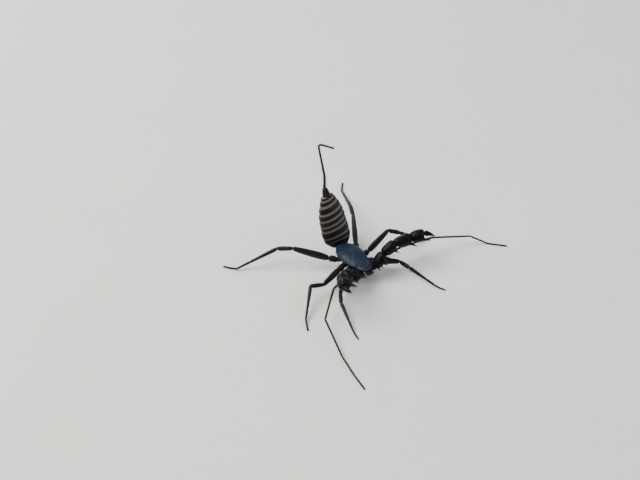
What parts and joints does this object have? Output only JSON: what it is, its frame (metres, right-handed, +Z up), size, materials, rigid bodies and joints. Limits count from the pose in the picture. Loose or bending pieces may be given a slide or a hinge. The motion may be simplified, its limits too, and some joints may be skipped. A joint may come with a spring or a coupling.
{
  "type": "whip scorpion",
  "caption": "Life-size whip scorpion standing with raised striped abdomen, upright thin tail whip and two spiny pincer arms spread wide.",
  "frame": {"origin": "on the floor under the middle of the model's bounding box", "axes": "+Z up, the animal faces -Y and its left side is +X"},
  "size_m": [0.076, 0.073, 0.0371],
  "materials": {
    "carapace": "satin blue-black shell, finely grained",
    "underside": "satin dark red-brown shell plates",
    "eyes": "glossy black",
    "fangs": "satin dark red-brown with bristles",
    "pincer_arms": "satin near-black shell with spines",
    "legs": "satin black shell with a dark red tint",
    "feelers": "matt dark brown with fine hair",
    "abdomen": "satin black-brown plates with pale grey-beige stripes of soft skin between them",
    "whip": "matt dark brown, ringed and hairy"
  },
  "bodies": {
    "root": {"abdomen_1": "abdomen", "abdomen_2": "abdomen", "abdomen_3": "abdomen", "abdomen_4": "abdomen", "abdomen_5": "abdomen", "abdomen_6": "abdomen", "abdomen_7": "abdomen", "abdomen_8": "abdomen", "abdomen_9": "abdomen", "carapace": "carapace", "chelicera_L": "fangs", "chelicera_R": "fangs", "eye_median_L": "eyes", "eye_median_R": "eyes", "eyes_lateral_L": "eyes", "eyes_lateral_R": "eyes", "feeler_L_femur": "feelers", "feeler_L_patella": "feelers", "feeler_L_tarsus": "feelers", "feeler_L_tibia": "feelers", "feeler_R_femur": "feelers", "feeler_R_patella": "feelers", "feeler_R_tarsus": "feelers", "feeler_R_tibia": "feelers", "leg_L2_femur": "legs", "leg_L2_tarsus": "legs", "leg_L2_tibia": "legs", "leg_L3_femur": "legs", "leg_L3_tarsus": "legs", "leg_L3_tibia": "legs", "leg_L4_femur": "legs", "leg_L4_tarsus": "legs", "leg_L4_tibia": "legs", "leg_R2_femur": "legs", "leg_R2_tarsus": "legs", "leg_R2_tibia": "legs", "leg_R3_femur": "legs", "leg_R3_tarsus": "legs", "leg_R3_tibia": "legs", "leg_R4_femur": "legs", "leg_R4_tarsus": "legs", "leg_R4_tibia": "legs", "palp_L_coxa": "pincer_arms", "palp_L_femur": "pincer_arms", "palp_L_finger": "pincer_arms", "palp_L_hand": "pincer_arms", "palp_L_patella": "pincer_arms", "palp_L_trochanter": "pincer_arms", "palp_R_coxa": "pincer_arms", "palp_R_femur": "pincer_arms", "palp_R_finger": "pincer_arms", "palp_R_hand": "pincer_arms", "palp_R_patella": "pincer_arms", "palp_R_trochanter": "pincer_arms", "pygidium": "abdomen", "sternum_and_coxae": "underside", "whip_base": "whip", "whip_middle": "whip", "whip_tip": "whip"}
  },
  "joints": []
}
